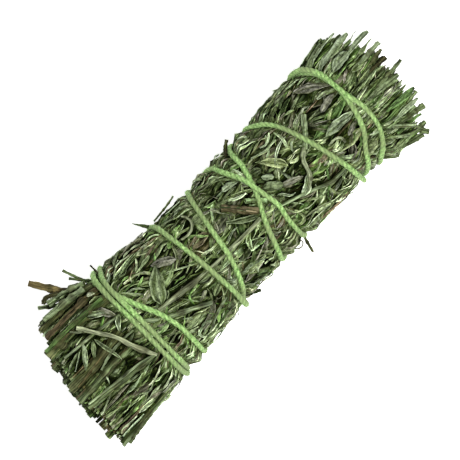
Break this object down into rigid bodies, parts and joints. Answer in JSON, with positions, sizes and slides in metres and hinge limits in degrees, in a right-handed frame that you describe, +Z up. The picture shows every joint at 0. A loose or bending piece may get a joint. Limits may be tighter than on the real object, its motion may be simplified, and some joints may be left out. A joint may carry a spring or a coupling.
{
  "type": "sage smudge stick",
  "caption": "Small bundle of dried leafy sage stems laid side by side and bound with a criss-crossing cotton string, for burning as incense.",
  "frame": {"origin": "on the surface that the bundle lies on, at the flat leaf under its middle", "axes": "+X along the bundle to its leafy end, +Y across it, +Z up from the surface"},
  "size_m": [0.1025, 0.0403, 0.0286],
  "materials": {
    "dried_leaf": "dry and matt, with a dusty felt of fine hairs",
    "woody_stem": "dry bark, matt",
    "cotton_string": "twisted cotton, slightly fuzzy"
  },
  "bodies": {
    "root": {"sprig_01": "dried_leaf", "sprig_02": "dried_leaf", "sprig_03": "dried_leaf", "sprig_04": "dried_leaf", "sprig_05": "dried_leaf", "sprig_06": "dried_leaf", "sprig_07": "dried_leaf", "sprig_08": "dried_leaf", "sprig_09": "dried_leaf", "sprig_10": "dried_leaf", "sprig_11": "dried_leaf", "sprig_12": "dried_leaf", "inner_sprig_01": "woody_stem", "inner_sprig_02": "woody_stem", "inner_sprig_03": "woody_stem", "inner_sprig_04": "woody_stem", "inner_sprig_05": "woody_stem", "inner_sprig_06": "woody_stem", "inner_sprig_07": "woody_stem", "inner_sprig_08": "woody_stem", "inner_sprig_09": "woody_stem", "inner_sprig_10": "woody_stem", "inner_sprig_11": "woody_stem", "inner_sprig_12": "woody_stem", "inner_sprig_13": "woody_stem", "inner_sprig_14": "woody_stem", "inner_sprig_15": "woody_stem", "inner_sprig_16": "woody_stem", "inner_sprig_17": "woody_stem", "inner_sprig_18": "woody_stem", "inner_sprig_19": "woody_stem", "binding_string": "cotton_string"}
  },
  "joints": []
}
